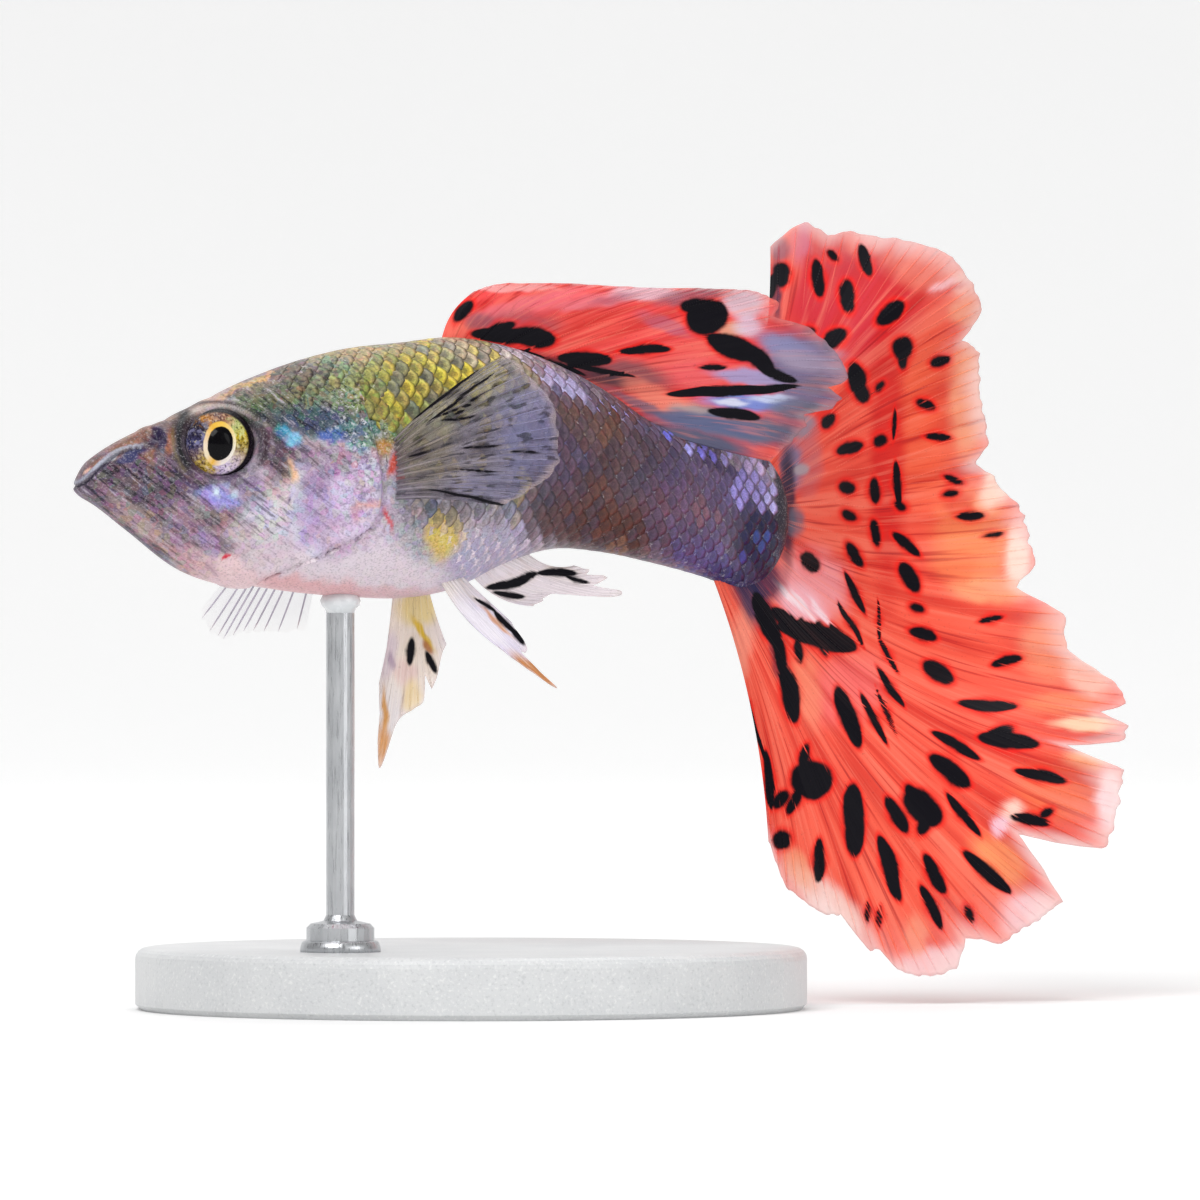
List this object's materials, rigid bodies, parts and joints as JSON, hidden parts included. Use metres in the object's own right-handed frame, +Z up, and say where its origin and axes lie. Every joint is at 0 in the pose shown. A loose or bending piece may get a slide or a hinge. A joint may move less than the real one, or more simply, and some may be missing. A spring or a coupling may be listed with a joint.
{
  "type": "fancy guppy display model",
  "caption": "Life-size still model of a male fancy guppy with a wide spotted tail fan, held over a flat round base by one rod.",
  "frame": {"origin": "middle of the underside of the stand's base, on the surface that it stands on", "axes": "+Z up; the fish's snout points towards -X and its left side faces -Y; the tail bends away to +Y"},
  "size_m": [0.0378, 0.0301, 0.0287],
  "materials": {
    "skin": "satin, scaled, with pearly highlights",
    "eye": "wet gloss, gold ring round a black pupil",
    "tail_fin": "red with black spots, thin and ribbed",
    "dorsal_fin": "red with black streaks, thin and ribbed",
    "pale_fin": "pale, thin and ribbed",
    "clear_fin": "nearly clear with dark rays",
    "stand_base": "fine matte",
    "stand_rod": "satin"
  },
  "bodies": {
    "root": {"head": "skin", "trunk": "skin", "tail_stalk": "skin", "eye_left": "eye", "eye_right": "eye", "tail_fin": "tail_fin", "dorsal_fin": "dorsal_fin", "anal_fin": "pale_fin", "pelvic_fin_left": "pale_fin", "pelvic_fin_right": "pale_fin", "pectoral_fin_left": "clear_fin", "pectoral_fin_right": "clear_fin", "stand_base": "stand_base", "stand_rod": "stand_rod"}
  },
  "joints": []
}
